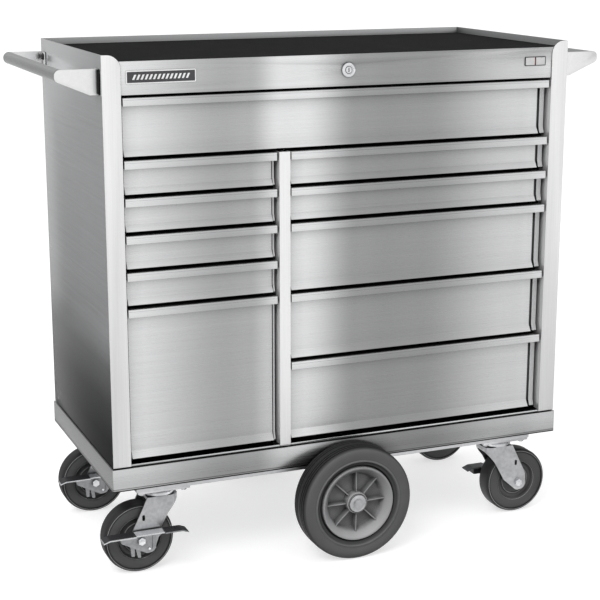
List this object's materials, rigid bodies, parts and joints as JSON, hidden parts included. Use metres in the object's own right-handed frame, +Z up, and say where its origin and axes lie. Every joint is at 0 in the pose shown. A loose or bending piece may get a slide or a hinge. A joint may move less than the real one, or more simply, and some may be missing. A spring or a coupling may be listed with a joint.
{
  "type": "rolling tool chest",
  "caption": "Wide stainless rolling tool chest with drawers, top tray, side push handles, braked swivel casters and large middle wheels.",
  "frame": {"origin": "on the floor, under the middle of the cabinet", "axes": "+X to the right as seen from the front, +Y to the back (drawers open towards -Y), +Z up"},
  "size_m": [1.22, 0.648, 1.094],
  "materials": {
    "stainless": "horizontally brushed stainless sheet",
    "panel_steel": "fine satin stainless sheet",
    "zinc_steel": "zinc-plated pressed steel",
    "drawer_steel": "satin black powder coat",
    "mat_rubber": "ribbed black rubber",
    "wheel_rubber": "hard dark rubber",
    "tyre_rubber": "grey-black solid rubber",
    "rim_plastic": "moulded grey plastic",
    "plate_black": "satin black with a bright border"
  },
  "bodies": {
    "cabinet": {"cabinet_shell": "panel_steel", "bottom_pan": "panel_steel", "left_post": "stainless", "right_post": "stainless", "front_rail": "stainless", "center_divider": "stainless", "top_tray": "panel_steel", "top_mat": "mat_rubber", "base_frame": "stainless", "caster_rail_front": "zinc_steel", "caster_rail_rear": "zinc_steel", "left_wall_rack": "zinc_steel", "right_wall_rack": "zinc_steel", "divider_left_rack": "zinc_steel", "divider_right_rack": "zinc_steel", "name_plate": "plate_black", "lock_housing": "zinc_steel", "left_handle": "panel_steel", "right_handle": "panel_steel", "wheel_axle": "zinc_steel"},
    "lock_cylinder": {"lock_cylinder": "zinc_steel"},
    "lock_bar": {"lock_bar": "zinc_steel"},
    "drawer_top": {"drawer_top_box": "drawer_steel", "drawer_top_front": "stainless"},
    "drawer_left_1": {"drawer_left_1_box": "drawer_steel", "drawer_left_1_front": "stainless"},
    "drawer_left_2": {"drawer_left_2_box": "drawer_steel", "drawer_left_2_front": "stainless"},
    "drawer_left_3": {"drawer_left_3_box": "drawer_steel", "drawer_left_3_front": "stainless"},
    "drawer_left_4": {"drawer_left_4_box": "drawer_steel", "drawer_left_4_front": "stainless"},
    "drawer_left_5": {"drawer_left_5_box": "drawer_steel", "drawer_left_5_front": "stainless"},
    "drawer_right_1": {"drawer_right_1_box": "drawer_steel", "drawer_right_1_front": "stainless"},
    "drawer_right_2": {"drawer_right_2_box": "drawer_steel", "drawer_right_2_front": "stainless"},
    "drawer_right_3": {"drawer_right_3_box": "drawer_steel", "drawer_right_3_front": "stainless"},
    "drawer_right_4": {"drawer_right_4_box": "drawer_steel", "drawer_right_4_front": "stainless"},
    "drawer_right_5": {"drawer_right_5_box": "drawer_steel", "drawer_right_5_front": "stainless"},
    "caster_front_left": {"caster_front_left_fork": "zinc_steel"},
    "caster_front_left_wheel": {"caster_front_left_wheel": "wheel_rubber"},
    "caster_front_left_pedal": {"caster_front_left_pedal": "zinc_steel"},
    "caster_front_right": {"caster_front_right_fork": "zinc_steel"},
    "caster_front_right_wheel": {"caster_front_right_wheel": "wheel_rubber"},
    "caster_front_right_pedal": {"caster_front_right_pedal": "zinc_steel"},
    "caster_rear_left": {"caster_rear_left_fork": "zinc_steel"},
    "caster_rear_left_wheel": {"caster_rear_left_wheel": "wheel_rubber"},
    "caster_rear_left_pedal": {"caster_rear_left_pedal": "zinc_steel"},
    "caster_rear_right": {"caster_rear_right_fork": "zinc_steel"},
    "caster_rear_right_wheel": {"caster_rear_right_wheel": "wheel_rubber"},
    "caster_rear_right_pedal": {"caster_rear_right_pedal": "zinc_steel"},
    "big_wheel_front": {"big_wheel_front_rim": "rim_plastic", "big_wheel_front_tyre": "tyre_rubber"},
    "big_wheel_rear": {"big_wheel_rear_rim": "rim_plastic", "big_wheel_rear_tyre": "tyre_rubber"}
  },
  "joints": [
    {"name": "drawer_top_slide", "type": "slide", "parent": "cabinet", "child": "drawer_top", "axis": [0, -1, 0], "range_m": [0, 0.4]},
    {"name": "drawer_left_1_slide", "type": "slide", "parent": "cabinet", "child": "drawer_left_1", "axis": [0, -1, 0], "range_m": [0, 0.4]},
    {"name": "drawer_left_2_slide", "type": "slide", "parent": "cabinet", "child": "drawer_left_2", "axis": [0, -1, 0], "range_m": [0, 0.4]},
    {"name": "drawer_left_3_slide", "type": "slide", "parent": "cabinet", "child": "drawer_left_3", "axis": [0, -1, 0], "range_m": [0, 0.4]},
    {"name": "drawer_left_4_slide", "type": "slide", "parent": "cabinet", "child": "drawer_left_4", "axis": [0, -1, 0], "range_m": [0, 0.4]},
    {"name": "drawer_left_5_slide", "type": "slide", "parent": "cabinet", "child": "drawer_left_5", "axis": [0, -1, 0], "range_m": [0, 0.4]},
    {"name": "drawer_right_1_slide", "type": "slide", "parent": "cabinet", "child": "drawer_right_1", "axis": [0, -1, 0], "range_m": [0, 0.4]},
    {"name": "drawer_right_2_slide", "type": "slide", "parent": "cabinet", "child": "drawer_right_2", "axis": [0, -1, 0], "range_m": [0, 0.4]},
    {"name": "drawer_right_3_slide", "type": "slide", "parent": "cabinet", "child": "drawer_right_3", "axis": [0, -1, 0], "range_m": [0, 0.4]},
    {"name": "drawer_right_4_slide", "type": "slide", "parent": "cabinet", "child": "drawer_right_4", "axis": [0, -1, 0], "range_m": [0, 0.4]},
    {"name": "drawer_right_5_slide", "type": "slide", "parent": "cabinet", "child": "drawer_right_5", "axis": [0, -1, 0], "range_m": [0, 0.4]},
    {"name": "lock_turn", "type": "hinge", "parent": "cabinet", "child": "lock_cylinder", "pos_m": [0, -0.254, 1.0488], "axis": [0, -1, 0], "range_deg": [0, 90]},
    {"name": "lock_bar_lift", "type": "slide", "parent": "cabinet", "child": "lock_bar", "axis": [0, 0, 1], "range_m": [0, 0.006]},
    {"name": "caster_front_left_swivel", "type": "hinge", "parent": "cabinet", "child": "caster_front_left", "pos_m": [-0.4085, -0.187, 0.168], "axis": [0, 0, 1], "continuous": true},
    {"name": "caster_front_left_roll", "type": "hinge", "parent": "caster_front_left", "child": "caster_front_left_wheel", "pos_m": [-0.4565, -0.187, 0.0762], "axis": [0, 1, 0], "continuous": true},
    {"name": "caster_front_left_brake", "type": "hinge", "parent": "caster_front_left", "child": "caster_front_left_pedal", "pos_m": [-0.4565, -0.187, 0.0762], "axis": [0, 1, 0], "range_deg": [-8, 8]},
    {"name": "caster_front_right_swivel", "type": "hinge", "parent": "cabinet", "child": "caster_front_right", "pos_m": [0.4085, -0.187, 0.168], "axis": [0, 0, 1], "continuous": true},
    {"name": "caster_front_right_roll", "type": "hinge", "parent": "caster_front_right", "child": "caster_front_right_wheel", "pos_m": [0.4565, -0.187, 0.0762], "axis": [0, 1, 0], "continuous": true},
    {"name": "caster_front_right_brake", "type": "hinge", "parent": "caster_front_right", "child": "caster_front_right_pedal", "pos_m": [0.4565, -0.187, 0.0762], "axis": [0, 1, 0], "range_deg": [-8, 8]},
    {"name": "caster_rear_left_swivel", "type": "hinge", "parent": "cabinet", "child": "caster_rear_left", "pos_m": [-0.4085, 0.187, 0.168], "axis": [0, 0, 1], "continuous": true},
    {"name": "caster_rear_left_roll", "type": "hinge", "parent": "caster_rear_left", "child": "caster_rear_left_wheel", "pos_m": [-0.4565, 0.187, 0.0762], "axis": [0, 1, 0], "continuous": true},
    {"name": "caster_rear_left_brake", "type": "hinge", "parent": "caster_rear_left", "child": "caster_rear_left_pedal", "pos_m": [-0.4565, 0.187, 0.0762], "axis": [0, 1, 0], "range_deg": [-8, 8]},
    {"name": "caster_rear_right_swivel", "type": "hinge", "parent": "cabinet", "child": "caster_rear_right", "pos_m": [0.4085, 0.187, 0.168], "axis": [0, 0, 1], "continuous": true},
    {"name": "caster_rear_right_roll", "type": "hinge", "parent": "caster_rear_right", "child": "caster_rear_right_wheel", "pos_m": [0.4565, 0.187, 0.0762], "axis": [0, 1, 0], "continuous": true},
    {"name": "caster_rear_right_brake", "type": "hinge", "parent": "caster_rear_right", "child": "caster_rear_right_pedal", "pos_m": [0.4565, 0.187, 0.0762], "axis": [0, 1, 0], "range_deg": [-8, 8]},
    {"name": "big_wheel_front_roll", "type": "hinge", "parent": "cabinet", "child": "big_wheel_front", "pos_m": [0, -0.292, 0.127], "axis": [0, 1, 0], "continuous": true},
    {"name": "big_wheel_rear_roll", "type": "hinge", "parent": "cabinet", "child": "big_wheel_rear", "pos_m": [0, 0.292, 0.127], "axis": [0, 1, 0], "continuous": true}
  ],
  "couplings": [
    {"joint": "lock_turn", "follows": "lock_bar_lift", "rad_per_m": 261}
  ]
}
